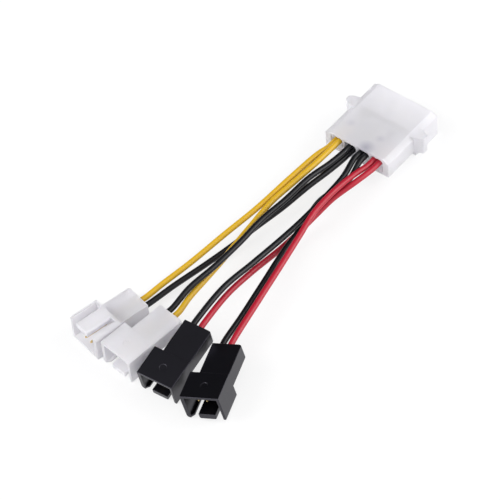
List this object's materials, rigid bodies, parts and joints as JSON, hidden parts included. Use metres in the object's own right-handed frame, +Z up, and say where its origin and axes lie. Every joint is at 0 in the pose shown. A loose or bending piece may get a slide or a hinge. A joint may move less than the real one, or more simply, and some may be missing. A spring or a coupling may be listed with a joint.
{
  "type": "drive power to fan adapter cable",
  "caption": "Adapter cable from a wide round-pin drive power plug to a group of small shrouded fan connectors, on yellow, red and black wires.",
  "frame": {"origin": "centre of the bounding box on the table the cable lies on", "axes": "+X from the small fan housings to the mouth of the wide plug, +Y to the side of the yellow wires, +Z up"},
  "size_m": [0.1303, 0.0575, 0.0119],
  "materials": {
    "natural_nylon": "moulded, satin, slightly translucent",
    "black_nylon": "moulded, satin",
    "tinned_brass": "tin plated",
    "gold_plated_brass": "gold flashed",
    "yellow_pvc": "extruded, smooth",
    "black_pvc": "extruded, smooth",
    "red_pvc": "extruded, smooth"
  },
  "bodies": {
    "root": {"plug_housing": "natural_nylon", "plug_pin_12v": "tinned_brass", "plug_pin_ground_a": "tinned_brass", "plug_pin_ground_b": "tinned_brass", "plug_pin_5v": "tinned_brass", "fan_housing_12v_a": "natural_nylon", "fan_housing_12v_b": "natural_nylon", "fan_housing_5v_a": "black_nylon", "fan_housing_5v_b": "black_nylon", "fan_pin_12v_a_supply": "gold_plated_brass", "fan_pin_12v_a_ground": "gold_plated_brass", "fan_pin_12v_b_supply": "gold_plated_brass", "fan_pin_12v_b_ground": "gold_plated_brass", "fan_pin_5v_a_supply": "gold_plated_brass", "fan_pin_5v_a_ground": "gold_plated_brass", "fan_pin_5v_b_supply": "gold_plated_brass", "fan_pin_5v_b_ground": "gold_plated_brass", "wire_12v_a_yellow": "yellow_pvc", "wire_12v_b_yellow": "yellow_pvc", "wire_12v_a_black": "black_pvc", "wire_12v_b_black": "black_pvc", "wire_5v_a_black": "black_pvc", "wire_5v_b_black": "black_pvc", "wire_5v_a_red": "red_pvc", "wire_5v_b_red": "red_pvc"}
  },
  "joints": []
}
